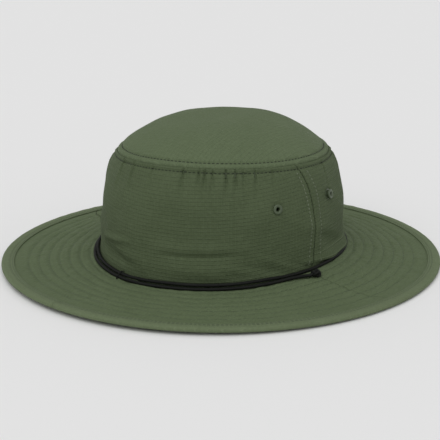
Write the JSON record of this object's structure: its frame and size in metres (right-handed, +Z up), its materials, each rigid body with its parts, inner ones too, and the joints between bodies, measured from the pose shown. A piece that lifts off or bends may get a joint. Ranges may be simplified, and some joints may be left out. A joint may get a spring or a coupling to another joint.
{
  "type": "boonie hat",
  "caption": "Round-topped boonie hat with a wide stitched brim, vent eyelets and a doubled black cord round the crown.",
  "frame": {"origin": "on the surface the hat rests on, under the middle of the brim", "axes": "+Z up through the crown, -Y the front of the hat, +X the wearer's left"},
  "size_m": [0.322, 0.342, 0.1121],
  "materials": {
    "ripstop_green": "matt olive green ripstop nylon",
    "ripstop_band": "matt olive green ripstop nylon, a little darker",
    "sweatband_green": "soft knitted wicking cloth over thin foam",
    "seam_tape": "plain woven tape",
    "interlining": "stiff non-woven",
    "eyelet_paint": "satin green paint",
    "cord_black": "braided polyester cord",
    "label_cloth": "woven satin tape, blank"
  },
  "bodies": {
    "hat": {"crown_tip": "ripstop_green", "side_band_front": "ripstop_band", "side_band_rear": "ripstop_band", "brim_upper_front": "ripstop_green", "brim_upper_rear": "ripstop_green", "brim_under_front": "ripstop_green", "brim_under_rear": "ripstop_green", "brim_interlining": "interlining", "brim_edge_binding": "ripstop_green", "crown_seam_tape": "seam_tape", "side_seam_tape_left": "seam_tape", "side_seam_tape_right": "seam_tape", "sweatband": "sweatband_green", "eyelet_left_front": "eyelet_paint", "eyelet_left_rear": "eyelet_paint", "eyelet_right_front": "eyelet_paint", "eyelet_right_rear": "eyelet_paint", "eyelet_washer_left_front": "eyelet_paint", "eyelet_washer_left_rear": "eyelet_paint", "eyelet_washer_right_front": "eyelet_paint", "eyelet_washer_right_rear": "eyelet_paint", "hat_cord": "cord_black", "cord_knot_left": "cord_black", "cord_knot_right": "cord_black", "cord_tack_front": "cord_black", "cord_tack_back": "cord_black"},
    "label": {"size_label": "label_cloth"}
  },
  "joints": [
    {"name": "label_swing", "type": "hinge", "parent": "hat", "child": "label", "pos_m": [0, 0.0917, 0.0393], "axis": [-1, 0, 0], "range_deg": [0, 95]}
  ]
}
